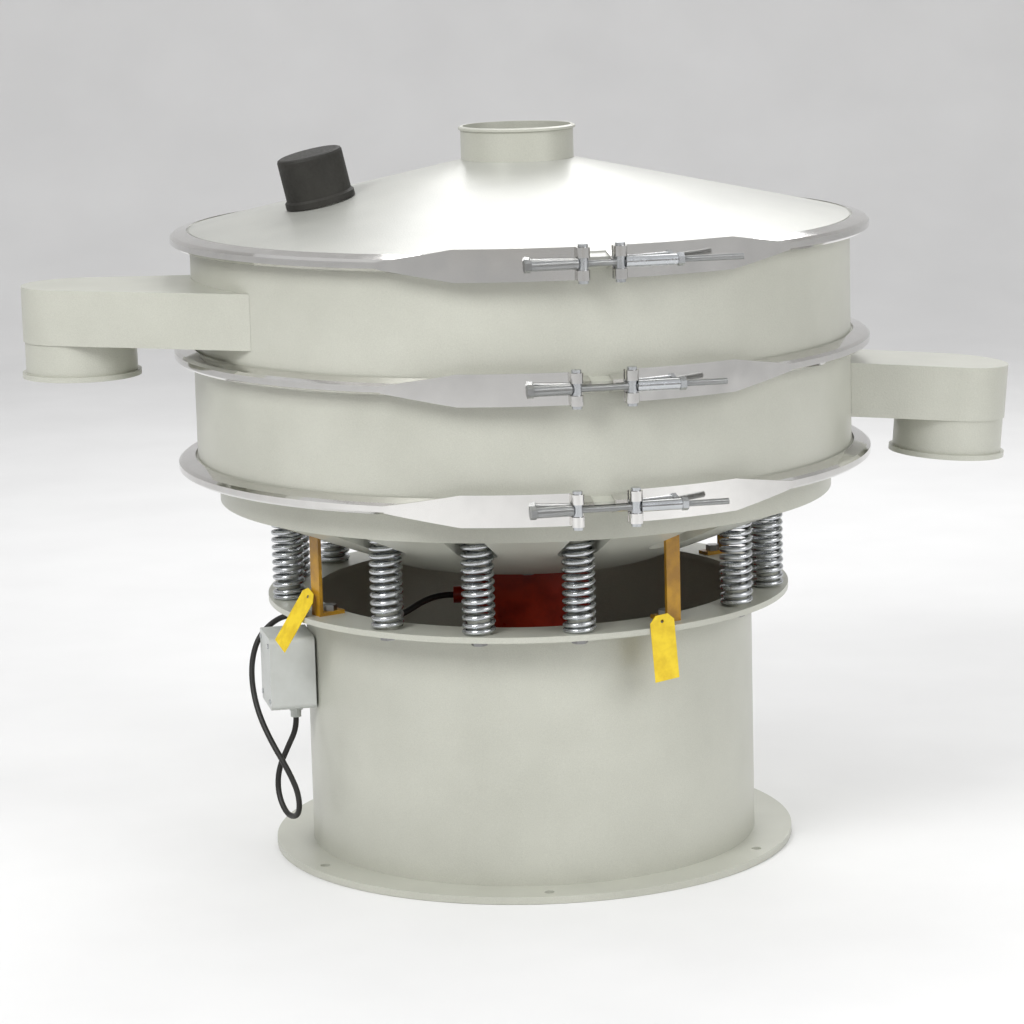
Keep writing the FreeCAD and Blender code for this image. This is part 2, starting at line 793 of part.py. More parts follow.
def make_motor():
    """Vertical out-of-balance motor hung from the cone's flat plate."""
    flange_bottom = plate_bottom - size.motor_flange_thickness
    bore = size.shaft_radius + size.running_gap
    housing = body("motor_housing")
    revolution(housing, "housing_turned", [
        (bore, size.motor_bottom),
        (size.motor_radius, size.motor_bottom),
        (size.motor_radius, flange_bottom),
        (size.motor_neck_radius, flange_bottom),
        (size.motor_neck_radius, plate_bottom + size.motor_neck_height),
        (bore, plate_bottom + size.motor_neck_height),
    ])
    node("motor_housing", housing)

    flange = body("motor_flange")
    revolution(flange, "motor_flange_plate", [
        (size.motor_neck_radius + size.seam_gap, flange_bottom),
        (size.motor_flange_radius, flange_bottom),
        (size.motor_flange_radius, plate_bottom),
        (size.motor_neck_radius + size.seam_gap, plate_bottom),
    ])
    drawing = sketch(flange, "motor_bolt_circle", lift=plate_bottom)
    circle(drawing, size.motor_bolt_circle_radius, 0, size.motor_bolt_radius + size.seam_gap)
    hole = pocket(flange, "motor_bolt_hole", drawing, size.motor_flange_thickness * 2)
    polar(flange, "motor_bolt_holes", [hole], size.motor_bolt_count)
    node("motor_flange", flange)

    bolts = body("motor_bolts")
    grip = size.motor_flange_thickness
    drawing = sketch(bolts, "motor_bolt_shank_circle", lift=flange_bottom - size.spring_bolt_head_height)
    circle(drawing, size.motor_bolt_circle_radius, 0, size.motor_bolt_radius)
    shank = pad(bolts, "motor_bolt_shank", drawing, grip + size.spring_bolt_head_height)
    drawing = sketch(bolts, "motor_bolt_hexagon", lift=flange_bottom - size.spring_bolt_head_height)
    hexagon(drawing, size.spring_bolt_head_width, x=size.motor_bolt_circle_radius)
    head = pad(bolts, "motor_bolt_head", drawing, size.spring_bolt_head_height)
    polar(bolts, "motor_bolt_ring", [shank, head], size.motor_bolt_count)
    node("motor_bolts", bolts)

    cover = body("motor_end_cover")
    cover_bottom = size.motor_bottom - size.end_cover_height
    revolution(cover, "end_cover_turned", [
        (bore, cover_bottom),
        (size.end_cover_radius, cover_bottom),
        (size.motor_radius, size.motor_bottom - size.end_cover_height / 2),
        (size.motor_radius, size.motor_bottom),
        (bore, size.motor_bottom),
    ])
    node("motor_end_cover", cover)

    gland = body("motor_gland")
    drawing = sketch(gland, "motor_gland_circle", "YZ_Plane", lift=size.motor_radius)
    circle(drawing, 0, size.motor_gland_height, size.motor_gland_radius)
    pad(gland, "motor_gland_barrel", drawing, size.motor_gland_length)
    node("motor_gland", gland, station(-90))

    shaft = body("motor_shaft")
    drawing = sketch(shaft, "shaft_circle", lift=size.shaft_bottom)
    circle(drawing, 0, 0, size.shaft_radius)
    pad(shaft, "shaft_bar", drawing, size.shaft_top - size.shaft_bottom)
    node("motor_shaft", shaft)

    make_weight("upper_weight", size.upper_weight_bottom, size.upper_weight_height)
    make_weight("lower_weight", size.lower_weight_bottom, size.lower_weight_height)


def make_weight(label, bottom, height):
    """An out-of-balance weight: a hub on the shaft and a half disc to one side."""
    item = body(label)
    bore = size.shaft_radius + size.running_gap / 3
    revolution(item, label + "_hub", [
        (bore, bottom),
        (size.weight_hub_radius, bottom),
        (size.weight_hub_radius, bottom + height),
        (bore, bottom + height),
    ])
    revolution(item, label + "_half_disc", [
        (size.weight_hub_radius - size.edge_break, bottom),
        (size.weight_radius, bottom),
        (size.weight_radius, bottom + height),
        (size.weight_hub_radius - size.edge_break, bottom + height),
    ], angle=180.0)
    node(label, item, station(0))


# ---- frames, screen and lid ------------------------------------------------------------------

class Outlet:
    """A side outlet: where it leaves the frame, its droop, its flare towards the frame, its pipe."""

    def __init__(self, level, joint):
        self.level = level
        self.angle = self.named("outlet_angle")
        self.reach = size.frame_radius + self.named("outlet_reach")
        self.offset = self.named("outlet_offset")
        self.floor = joint + self.named("outlet_rise")
        self.flare = self.named("outlet_flare_angle")
        self.pipe_length = self.named("pipe_length")
        pivot = Vector(float(size.frame_radius), 0, float(self.floor))
        droop = Rotation(Vector(0, 1, 0), float(self.named("outlet_droop_angle")))
        self.tilt = Placement(pivot, droop) * Placement(pivot * -1, Rotation())

    def named(self, name):
        """One of this outlet's own sizes."""
        return getattr(size, f"{self.level}_{name}")

    def raised(self, lift):
        """A sketch's place at a height in the outlet's level frame."""
        return Placement(Vector(0, 0, float(lift)), Rotation())

    def outline(self, drawing, half):
        """The trough's plan without its round end, at half a width from the centre line."""
        front = self.offset + half
        back = self.offset - half * cosine(self.flare)
        corner = self.reach + half * sine(self.flare)
        spread = (corner - size.trough_root) * sine(self.flare) / cosine(self.flare)
        polygon(drawing, [
            (size.trough_root, back - spread), (corner, back),
            (self.reach, front), (size.trough_root, front),
        ])


def make_frame(label, low, high, outlet):
    """A rimmed frame ring with a window into its outlet."""
    item = body(label)
    inner = size.frame_radius - size.frame_wall
    revolution(item, label + "_shell", [
        (inner, low + joint_half),
        (size.rim_radius, low + joint_half),
        (size.rim_radius, low + size.rim_tip_half),
        (size.frame_radius, low + size.rim_root_half),
        (size.frame_radius, high - size.rim_root_half),
        (size.rim_radius, high - size.rim_tip_half),
        (size.rim_radius, high - joint_half),
        (inner, high - joint_half),
    ])
    place = outlet.tilt * outlet.raised(outlet.floor + size.outlet_wall)
    drawing = sketch(item, label + "_window_outline", offset=place)
    outlet.outline(drawing, size.trough_half_width - size.outlet_wall)
    clear = size.trough_height - size.outlet_wall * 2
    pocket(item, label + "_window", drawing, clear, upward=True)
    node(label, item, Placement(Vector(), Rotation(UP, float(outlet.angle))))


def make_outlet(label, outlet):
    """A flat-walled trough, round-ended over its down pipe, cut to the frame's curve."""
    item = body(label)
    half = size.trough_half_width
    clear_half = half - size.outlet_wall
    bore = size.pipe_radius - size.outlet_wall
    end = outlet.floor - outlet.pipe_length
    drawing = sketch(item, label + "_trough_outline", lift=outlet.floor)
    outlet.outline(drawing, half)
    pad(item, label + "_trough", drawing, size.trough_height)
    for name, lift, radius, length in (
        ("end", outlet.floor, half, size.trough_height),
        ("pipe", end, size.pipe_radius, outlet.pipe_length + size.outlet_wall),
        ("bead", end, size.pipe_radius + size.pipe_bead_width, size.pipe_bead_height),
    ):
        drawing = sketch(item, f"{label}_{name}_circle", lift=lift)
        circle(drawing, outlet.reach, outlet.offset, radius)
        pad(item, f"{label}_{name}", drawing, length)
    clear = size.trough_height - size.outlet_wall * 2
    drawing = sketch(item, label + "_duct_outline", lift=outlet.floor + size.outlet_wall)
    outlet.outline(drawing, clear_half)
    pocket(item, label + "_duct", drawing, clear, upward=True)
    drawing = sketch(item, label + "_duct_end_circle", lift=outlet.floor + size.outlet_wall)
    circle(drawing, outlet.reach, outlet.offset, clear_half)
    pocket(item, label + "_duct_end", drawing, clear, upward=True)
    drawing = sketch(item, label + "_bore_circle", lift=end)
    circle(drawing, outlet.reach, outlet.offset, bore)
    pocket(item, label + "_bore", drawing, outlet.pipe_length + size.outlet_wall * 2, upward=True)
    drawing = sketch(item, label + "_frame_circle", offset=outlet.tilt.inverse())
    circle(drawing, 0, 0, size.frame_radius + size.seam_gap)
    pocket(item, label + "_frame_cut", drawing, size.spout_top * 2, both_ways=True)
    node(label, item, Placement(Vector(), Rotation(UP, float(outlet.angle))) * outlet.tilt)


def make_frames():
    """Both frames with their outlets, the screen and the dome that ends the lower frame."""
    upper = Outlet("upper", size.middle_joint)
    make_frame("upper_frame", size.middle_joint, size.top_joint, upper)
    make_outlet("upper_outlet", upper)
    lower = Outlet("lower", size.bottom_joint)
    make_frame("lower_frame", size.bottom_joint, size.middle_joint, lower)
    make_outlet("lower_outlet", lower)

    inner = size.frame_radius - size.frame_wall
    screen_bottom = size.middle_joint - joint_half
    screen_top = screen_bottom + size.screen_ring_thickness
    screen = body("screen_ring")
    revolution(screen, "screen_ring_plate", [
        (size.rim_radius - size.screen_ring_width - size.frame_wall, screen_bottom),
        (size.rim_radius, screen_bottom),
        (size.rim_radius, screen_top),
        (size.rim_radius - size.screen_ring_width - size.frame_wall, screen_top),
    ])
    node("screen_ring", screen)

    mesh = body("screen_mesh")
    drawing = sketch(mesh, "mesh_circle", lift=screen_top)
    circle(drawing, 0, 0, inner - size.seam_gap)
    pad(mesh, "mesh_disc", drawing, size.mesh_thickness)
    node("screen_mesh", mesh)

    make_gasket("lid_gasket", size.top_joint - joint_half, size.top_joint + joint_half)
    make_gasket("screen_gasket", screen_top, size.middle_joint + joint_half)
    make_gasket("base_gasket", size.bottom_joint - joint_half, size.bottom_joint + joint_half)

    dome_edge = size.bottom_joint + size.dome_edge_rise
    dome = body("discharge_dome")
    revolution(dome, "dome_shell", [
        (0, dome_edge + size.dome_rise),
        (inner - size.seam_gap, dome_edge),
        (inner - size.seam_gap, dome_edge + size.dome_wall),
        (0, dome_edge + size.dome_rise + size.dome_wall),
    ])
    node("discharge_dome", dome)


def make_gasket(label, low, high):
    """A flat rubber ring between two rims."""
    item = body(label)
    revolution(item, label + "_ring", [
        (size.frame_radius, low),
        (size.rim_radius, low),
        (size.rim_radius, high),
        (size.frame_radius, high),
    ])
    node(label, item)


def port_place():
    """The inspection port's own frame: +Z square to the cone of the lid."""
    fall = (size.lid_top - size.lid_edge) / (size.frame_radius - size.spout_radius)
    height = size.lid_top - fall * (size.port_circle_radius - size.spout_radius)
    tilt = Placement(Vector(), Rotation(Vector(0, 1, 0), math.degrees(math.atan(float(fall)))))
    return Placement(Vector(float(size.port_circle_radius), 0, float(height)), Rotation()) * tilt


def make_lid():
    """Lid cone with its inlet spout, the inspection port and the port's rubber cap."""
    lid = body("lid_cone")
    hole = size.spout_radius + size.seam_gap
    inner = size.frame_radius - size.frame_wall
    revolution(lid, "lid_shell", [
        (hole, size.lid_top),
        (hole, size.lid_top - size.lid_wall),
        (inner, size.lid_edge - size.lid_wall),
        (inner, size.top_joint + joint_half),
        (size.rim_radius, size.top_joint + joint_half),
        (size.rim_radius, size.top_joint + size.rim_tip_half),
        (size.frame_radius, size.top_joint + size.rim_root_half),
        (size.frame_radius, size.lid_edge),
    ])
    drawing = sketch(lid, "port_hole_circle", offset=port_place())
    circle(drawing, 0, 0, size.port_radius + size.seam_gap)
    pocket(lid, "port_hole", drawing, size.port_height, both_ways=True)
    node("lid_cone", lid, station(size.port_station))

    spout = body("inlet_spout")
    bore = size.spout_radius - size.spout_wall
    bead_radius = size.spout_radius + size.spout_bead_width
    bead_bottom = size.spout_top - size.spout_bead_height
    revolution(spout, "spout_pipe", [
        (bore, size.lid_top - size.lid_wall),
        (size.spout_radius, size.lid_top - size.lid_wall),
        (size.spout_radius, bead_bottom),
        (bead_radius, bead_bottom + size.edge_break),
        (bead_radius, size.spout_top - size.edge_break),
        (size.spout_radius, size.spout_top),
        (bore, size.spout_top),
    ])
    node("inlet_spout", spout)

    place = station(size.port_station) * port_place()
    stub = body("inspection_stub")
    revolution(stub, "stub_pipe", [
        (size.port_radius - size.port_wall, -size.lid_wall),
        (size.port_radius, -size.lid_wall),
        (size.port_radius, size.port_height),
        (size.port_radius - size.port_wall, size.port_height),
    ])
    node("inspection_stub", stub, place)

    cap = body("port_cap")
    cap_bore = size.port_radius + size.running_gap
    foot = size.running_gap * 3
    revolution(cap, "cap_cup", [
        (cap_bore, foot),
        (size.cap_radius + size.cap_lip, foot),
        (size.cap_radius + size.cap_lip, foot + size.cap_lip_height),
        (size.cap_radius, foot + size.cap_lip_height + size.cap_lip),
        (size.cap_radius, size.cap_height - size.cap_edge),
        (size.cap_radius - size.cap_edge * 0.3, size.cap_height - size.cap_edge * 0.3),
        (size.cap_radius - size.cap_edge, size.cap_height),
        (0, size.cap_height),
        (0, size.cap_height - size.cap_top_wall),
        (cap_bore, size.cap_height - size.cap_top_wall),
    ])
    node("port_cap", cap, place)


# ---- clamps -----------------------------------------------------------------------------------

strap_radius = size.band_nose_radius + size.strap_clearance
bolt_line = strap_radius + size.strap_thickness + size.loop_offset
CLOSURES = {
    "top": (size.top_joint, size.top_closure_half, size.top_bolt_end),
    "middle": (size.middle_joint, size.middle_closure_half, size.lower_bolt_end),
    "bottom": (size.bottom_joint, size.bottom_closure_half, size.lower_bolt_end),
}


def make_band(level, height):
    """A V-section clamp band, open at the closure."""
    item = body(f"clamp_band_{level}")
    shoulder = size.band_nose_radius - size.band_shoulder
    wall = size.band_thickness
    revolution(item, f"band_{level}", [
        (size.band_inner_radius, size.band_half_height),
        (shoulder, size.band_shoulder_half),
        (size.band_nose_radius, size.band_nose_half),
        (size.band_nose_radius, -size.band_nose_half),
        (shoulder, -size.band_shoulder_half),
        (size.band_inner_radius, -size.band_half_height),
        (size.band_inner_radius, wall - size.band_half_height),
        (shoulder - wall / 3, wall - size.band_shoulder_half),
        (size.band_nose_radius - wall, wall / 2 - size.band_nose_half),
        (size.band_nose_radius - wall, size.band_nose_half - wall / 2),
        (shoulder - wall / 3, size.band_shoulder_half - wall),
        (size.band_inner_radius, size.band_half_height - wall),
    ], angle=360 - size.band_gap_angle)
    turn = size.closure_station + size.band_gap_angle / 2
    node(f"clamp_band_{level}", item, station(turn, 0, height))


def make_strap(level, closure_half):
    """One end strap, on the +Y side: a curved plate that tapers away from its trunnion loop."""
    item = body(f"strap_{level}")
    outer = strap_radius + size.strap_thickness
    revolution(item, f"strap_{level}_plate", [
        (strap_radius, -size.strap_half_height),
        (outer, -size.strap_half_height),
        (outer, size.strap_half_height),
        (strap_radius, size.strap_half_height),
    ], angle=size.strap_end_angle)
    tip = strap_radius * sine(size.strap_end_angle)
    past = tip + size.strap_half_height
    for side in (1, -1):
        drawing = sketch(item, f"strap_{level}_taper_outline_{side + 1}", "YZ_Plane")
        polygon(drawing, [
            (size.strap_taper_start, side * size.strap_half_height),
            (past, side * size.strap_half_height),
            (past, side * size.strap_tip_half),
            (tip, side * size.strap_tip_half),
        ])
        pocket(item, f"strap_{level}_taper_{side + 1}", drawing, outer * 2, upward=True)
    drawing = sketch(item, f"strap_{level}_loop_circle")
    circle(drawing, bolt_line, closure_half, size.loop_radius)
    pad(item, f"strap_{level}_loop", drawing, size.strap_half_height * 2, both_ways=True)
    over = size.strap_half_height + size.cut_margin
    drawing = sketch(item, f"strap_{level}_end_outline", "YZ_Plane")
    polygon(drawing, [
        (-size.loop_radius, -over), (closure_half - size.loop_radius, -over),
        (closure_half - size.loop_radius, over), (-size.loop_radius, over),
    ])
    pocket(item, f"strap_{level}_end", drawing, outer * 2, upward=True)
    slot_half = size.loop_radius + size.cut_margin
    drawing = sketch(item, f"strap_{level}_slot_outline", "YZ_Plane", lift=outer)
    polygon(drawing, [
        (closure_half - slot_half, -size.slot_half_height),
        (closure_half + slot_half, -size.slot_half_height),
        (closure_half + slot_half, size.slot_half_height),
        (closure_half - slot_half, size.slot_half_height),
    ])
    pocket(item, f"strap_{level}_slot", drawing, size.loop_radius * 4, upward=True)
    drawing = sketch(item, f"strap_{level}_eye_circle")
    circle(drawing, bolt_line, closure_half, size.trunnion_radius + size.seam_gap)
    pocket(item, f"strap_{level}_eye", drawing, size.strap_half_height * 3, both_ways=True)
    return item


def make_trunnion():
    """A cross-drilled barrel."""
    item = body("trunnion")
    drawing = sketch(item, "trunnion_circle")
    circle(drawing, 0, 0, size.trunnion_radius)
    pad(item, "trunnion_barrel", drawing, size.trunnion_half_height * 2, both_ways=True)
    drawing = sketch(item, "trunnion_hole_circle", "XZ_Plane")
    circle(drawing, 0, 0, size.clamp_bolt_radius + size.seam_gap)
    pocket(item, "trunnion_hole", drawing, size.trunnion_radius * 4, both_ways=True)
    return item


def closure_place(height, along=0.0):
    """On the bolt line of a closure, with +Z along the bolt towards its nut."""
    there = station(size.closure_station, 0, height)
    shift = Placement(Vector(float(bolt_line), float(along), 0), Rotation())
    return there * shift * Placement(Vector(), Rotation(Vector(1, 0, 0), -90))


def make_clamp_bolt(level, closure_half, end):
    """A clamp bolt with its hex head and thick shoulder up to the first trunnion."""
    item = body(f"clamp_bolt_{level}")
    head = size.clamp_head_reach
    drawing = sketch(item, f"bolt_{level}_rod_circle", lift=-head)
    circle(drawing, 0, 0, size.clamp_bolt_radius)
    pad(item, f"bolt_{level}_rod", drawing, head + end)
    drawing = sketch(item, f"bolt_{level}_shoulder_circle", lift=-head)
    circle(drawing, 0, 0, size.clamp_sleeve_radius)
    shoulder = head - closure_half - size.trunnion_radius - size.seam_gap
    pad(item, f"bolt_{level}_shoulder", drawing, shoulder)
    drawing = sketch(item, f"bolt_{level}_head_hexagon", lift=-head - size.clamp_nut_height)
    hexagon(drawing, size.clamp_nut_width)
    pad(item, f"bolt_{level}_head", drawing, size.clamp_nut_height)
    return item


def make_sleeve(level, closure_half, height):
    """The spacer sleeve between the second trunnion and the nut."""
    start = closure_half + size.trunnion_radius + size.running_gap
    item = body(f"clamp_sleeve_{level}")
    drawing = sketch(item, f"sleeve_{level}_ring", lift=start)
    circle(drawing, 0, 0, size.clamp_sleeve_radius)
    circle(drawing, 0, 0, size.clamp_bolt_radius + size.running_gap)
    pad(item, f"sleeve_{level}_tube", drawing, size.clamp_nut_reach - start - size.running_gap)
    node(f"clamp_sleeve_{level}", item, closure_place(height))


def make_nut(level, height):
    """The clamp's hex nut."""
    item = body(f"clamp_nut_{level}")
    drawing = sketch(item, f"nut_{level}_hexagon", lift=size.clamp_nut_reach)
    hexagon(drawing, size.clamp_nut_width)
    circle(drawing, 0, 0, size.clamp_bolt_radius + size.running_gap)
    pad(item, f"nut_{level}_body", drawing, size.clamp_nut_height)
    node(f"clamp_nut_{level}", item, closure_place(height))


def make_clamps():
    """Three V-band clamps with their screw closures at the front."""
    trunnion = make_trunnion()
    bolts = []
    bolt_places = []
    trunnion_places = []
    half_turn = Placement(Vector(), Rotation(Vector(1, 0, 0), 180))
    for level, (height, closure_half, end) in CLOSURES.items():
        make_band(level, height)
        strap = make_strap(level, closure_half)
        right = station(size.closure_station, 0, height)
        gather(f"clamp_straps_{level}", [strap, strap], [right, right * half_turn])
        for side in (1, -1):
            shift = Vector(float(bolt_line), side * float(closure_half), 0)
            trunnion_places.append(right * Placement(shift, Rotation()))
        bolts.append(make_clamp_bolt(level, closure_half, end))
        bolt_places.append(closure_place(height))
        make_sleeve(level, closure_half, height)
        make_nut(level, height)
    gather("clamp_trunnions", [trunnion] * len(trunnion_places), trunnion_places)
    gather("clamp_bolts", bolts, bolt_places)


# ---- junction box, cables and tags -------------------------------------------------------------

def rounded_plate(item, name, start, depth):
    """A block of the box's outline with rounded corners, along the body's +X."""
    half = size.box_half_width
    drawing = sketch(item, name + "_outline", "YZ_Plane", lift=start)
    polygon(drawing, [
        (-half, size.box_bottom), (half, size.box_bottom),
        (half, size.box_bottom + size.box_height), (-half, size.box_bottom + size.box_height),
    ])
    block = pad(item, name, drawing, depth)
    doc.recompute()
    corners = []
    for number, edge in enumerate(block.Shape.Edges, start=1):
        tangent = edge.tangentAt(edge.FirstParameter)
        if abs(tangent.x) > 0.9:
            corners.append(f"Edge{number}")
    fillet = item.newObject("PartDesign::Fillet", name + "_corners")
    fillet.Base = (block, corners)
    bind(fillet, "Radius", size.box_corner)
    item.Tip = fillet
    return item


def make_junction_box():
    """Light grey plastic junction box on the drum, with its cover, screws and cable gland."""
    back = size.drum_radius + size.seam_gap
    box = rounded_plate(body("junction_box"), "box_base", back, size.box_depth)
    node("junction_box", box, station(size.box_station))
    cover = rounded_plate(body("junction_box_cover"), "box_lid", back + size.box_depth,
                          size.box_cover_depth)
    node("junction_box_cover", cover, station(size.box_station))

    inset = size.box_corner + size.box_screw_radius
    face = back + size.box_depth + size.box_cover_depth
    screws = body("junction_box_screws")
    drawing = sketch(screws, "screw_circles", "YZ_Plane", lift=face)
    for side in (-1, 1):
        for height in (size.box_bottom + inset, size.box_bottom + size.box_height - inset):
            circle(drawing, side * (size.box_half_width - inset), height, size.box_screw_radius)
    pad(screws, "screw_heads", drawing, size.box_screw_radius / 2)
    node("junction_box_screws", screws, station(size.box_station))

    gland = body("cable_gland")
    middle = back + size.box_depth / 2
    drawing = sketch(gland, "gland_nut_hexagon", lift=size.box_bottom - size.gland_length / 2)
    hexagon(drawing, size.gland_radius * 2, x=middle)
    pad(gland, "gland_nut", drawing, size.gland_length / 2)
    drawing = sketch(gland, "gland_cap_circle", lift=size.box_bottom - size.gland_length)
    circle(drawing, middle, 0, size.gland_radius - size.edge_break)
    pad(gland, "gland_cap", drawing, size.gland_length / 2)
    node("cable_gland", gland, station(size.box_station))

    bush = body("cable_bush")
    drawing = sketch(bush, "bush_ring", "YZ_Plane", lift=size.drum_radius - size.drum_wall - size.bush_reach)
    circle(drawing, 0, size.bush_height, size.bush_radius)
    pad(bush, "bush_barrel", drawing, size.drum_wall + size.bush_reach * 2)
    node("cable_bush", bush, station(size.bush_station))


def rounded_path(points):
    """Straight runs joined by tangent arcs as large as the shorter run beside each allows."""
    corners = points
    edges = []
    radii = []
    start = corners[0]
    for index in range(1, len(corners) - 1):
        before, here, after = corners[index - 1], corners[index], corners[index + 1]
        incoming = (here - before).normalize()
        outgoing = (after - here).normalize()
        turn = incoming.getAngle(outgoing)
        run = min((here - before).Length, (after - here).Length)
        radius = 0.45 * run / math.tan(turn / 2)
        back = 0.45 * run
        first = here - incoming * back
        last = here + outgoing * back
        towards = (outgoing - incoming).normalize()
        centre = here + towards * (radius / math.cos(turn / 2))
        middle = centre - towards * radius
        edges.append(Part.LineSegment(start, first).toShape())
        edges.append(Part.Arc(first, middle, last).toShape())
        radii.append(round(radius, 1))
        start = last
    edges.append(Part.LineSegment(start, corners[-1]).toShape())
    return Part.Wire(edges), radii


def make_cable(label, points, radius):
    """A round cable swept along straight runs and tangent arcs."""
    path, radii = rounded_path(points)
    run = (points[1] - points[0]).normalize()
    section = Part.Wire([Part.Circle(points[0], run, float(radius)).toShape()])
    tube = path.makePipeShell([section], True, False)
    item = doc.addObject("Part::Feature", label)
    item.Label = label
    item.Shape = tube
    expected = math.pi * float(radius) ** 2 * path.Length
    print(label, "length", round(path.Length, 1), "volume ratio", round(tube.Volume / expected, 4), radii)
    node(label, item)


def make_tags():
    """Two bare tags that hang from the front brackets over the spring ring's edge."""
    tag = body("tag")
    half = size.tag_width / 2
    clip = size.tag_width / 4
    drawing = sketch(tag, "tag_outline", "YZ_Plane")
    polygon(drawing, [
        (-half, -size.tag_height), (half, -size.tag_height), (half, -clip),
        (half - clip, 0), (clip - half, 0), (-half, -clip),
    ])
    pad(tag, "tag_sheet", drawing, size.tag_thickness)
    drawing = sketch(tag, "tag_eye_circle", "YZ_Plane")
    circle(drawing, 0, -clip, size.tie_radius * 2.5)
    pocket(tag, "tag_eye", drawing, size.tag_thickness * 4, both_ways=True)
    edge = float(size.spring_ring_radius) + SIZES["running_gap"]
    places = []
    for angle, share, tilt, lean in TAG_HANGS:
        rise = share * float(size.tag_height)
        inwards = rise * math.tan(math.radians(tilt))
        there = station(angle, edge - inwards, float(ring_top) + rise)
        turn = Rotation(Vector(0, 1, 0), -tilt) * Rotation(Vector(1, 0, 0), lean)
        places.append(there * Placement(Vector(), turn))
    gather("bracket_tags", [tag, tag], places)


def write_parts():
    """Check every object and write each sub-part to its own file."""
    doc.recompute()
    for item in doc.Objects:
        if "Invalid" in item.State or "Error" in item.State:
            raise RuntimeError(f"{item.Name} failed: {item.State}")
    os.makedirs("parts", exist_ok=True)
    for label, item in NODES.items():
        shape = item.Shape
        if shape.isNull() or not shape.isValid() or not shape.Solids:
            raise RuntimeError(f"{label} has no valid solid")
        shape.exportStep(f"parts/{label}.step")
    print(len(NODES), "sub-parts written")


# The hanging cable's bends: station, reach beyond the drum as a share of the loop's reach, and
# height as a share of the bush's height.
CABLE_BENDS = (
    (-78.31, 0.447, 0.4576),
    (-78.47, 0.636, 0.3576),
    (-77.44, 0.666, 0.2545),
    (-73.53, 0.566, 0.1758),
    (-67.99, 0.471, 0.2),
    (-66.73, 0.498, 0.303),
    (-68.99, 0.635, 0.4061),
    (-72.35, 0.811, 0.503),
    (-75.96, 0.965, 0.6121),
    (-79.82, 1.022, 0.7152),
    (-83.6, 1.0, 0.8091),
    (-87.02, 0.875, 0.897),
    (-87.88, 0.622, 0.9606),
)

# The motor lead's bends: station, share of the way out from the motor's gland to the bush, and
# height as a share of the bush's height.
LEAD_BENDS = (
    (-86.11, 0.2083, 1.0394),
    (-80.11, 0.3456, 1.003),
    (-77.56, 0.5184, 0.9697),
    (-79.06, 0.6872, 0.9576),
    (-83.09, 0.8057, 0.9758),
)


def cable_routes():
    """The routes of the power cable and the motor lead between their glands and the bush."""
    level = float(size.bush_height)
    bush = station(size.bush_station, 0, level)
    outer = float(size.drum_radius + size.bush_reach)
    inner = float(size.drum_radius - size.drum_wall - size.bush_reach)
    gland_radius = size.drum_radius + size.seam_gap + size.box_depth / 2
    gland = station(size.box_station, gland_radius, size.box_bottom - size.gland_length)
    power = [gland.Base, gland.multVec(Vector(0, 0, -float(size.gland_run)))]
    for angle, out, up in CABLE_BENDS:
        power.append(station(angle, size.drum_radius + size.cable_loop_reach * out, level * up).Base)
    power.append(bush.multVec(Vector(outer + float(size.bush_run), 0, 0)))
    power.append(bush.multVec(Vector(outer, 0, 0)))

    near = float(size.motor_radius + size.motor_gland_length)
    start = station(-90, near, size.motor_gland_height)
    lead = [start.Base, start.multVec(Vector(float(size.gland_run), 0, 0))]
    for angle, out, up in LEAD_BENDS:
        lead.append(station(angle, near + (inner - near) * out, level * up).Base)
    lead.append(bush.multVec(Vector(inner - float(size.bush_run), 0, 0)))
    lead.append(bush.multVec(Vector(inner, 0, 0)))
    return power, lead


# Each tag's station, its top's rise above the ring as a share of the tag's height, its tilt
# outwards and its lean along the edge.
TAG_HANGS = (
    (28.5, 0.189, 0.0, 4.7),
    (-57.0, 0.378, 24.0, -20.0),
)

make_base()
make_springs()
make_brackets()
make_table()
make_motor()
make_frames()
make_lid()
make_clamps()
make_junction_box()
power_route, lead_route = cable_routes()
make_cable("power_cable", power_route, size.cable_radius)
make_cable("motor_lead", lead_route, size.motor_lead_radius)
make_tags()
write_parts()
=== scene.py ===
"""Dressed model of a round vibrating sieve: materials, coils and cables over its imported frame.

Lengths are in metres. Stations are degrees round the axis from the front towards +X, as in the part.
"""
import math

import bmesh
import bpy
from mathutils import Matrix, Vector

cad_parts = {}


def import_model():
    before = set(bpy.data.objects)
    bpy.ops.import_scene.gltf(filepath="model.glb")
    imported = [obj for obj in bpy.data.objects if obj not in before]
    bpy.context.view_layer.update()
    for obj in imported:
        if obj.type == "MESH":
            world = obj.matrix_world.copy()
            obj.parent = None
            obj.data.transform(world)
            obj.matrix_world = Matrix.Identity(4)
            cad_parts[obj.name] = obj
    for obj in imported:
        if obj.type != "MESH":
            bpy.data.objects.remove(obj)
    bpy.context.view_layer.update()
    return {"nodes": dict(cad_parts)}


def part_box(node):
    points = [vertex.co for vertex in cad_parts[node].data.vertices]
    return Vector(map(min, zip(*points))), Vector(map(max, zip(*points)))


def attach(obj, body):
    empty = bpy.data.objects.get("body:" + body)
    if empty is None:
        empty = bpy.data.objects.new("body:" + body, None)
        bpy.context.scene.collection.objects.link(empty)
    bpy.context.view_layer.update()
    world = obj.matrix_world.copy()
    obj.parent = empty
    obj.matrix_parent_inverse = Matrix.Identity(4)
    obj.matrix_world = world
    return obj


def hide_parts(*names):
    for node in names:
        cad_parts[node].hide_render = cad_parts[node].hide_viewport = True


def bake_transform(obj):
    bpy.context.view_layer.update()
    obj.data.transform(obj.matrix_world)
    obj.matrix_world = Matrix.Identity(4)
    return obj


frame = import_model()
nodes = frame["nodes"]
scene = bpy.context.scene


# ---- sizes in metres, from the part ----------------------------------------------------------

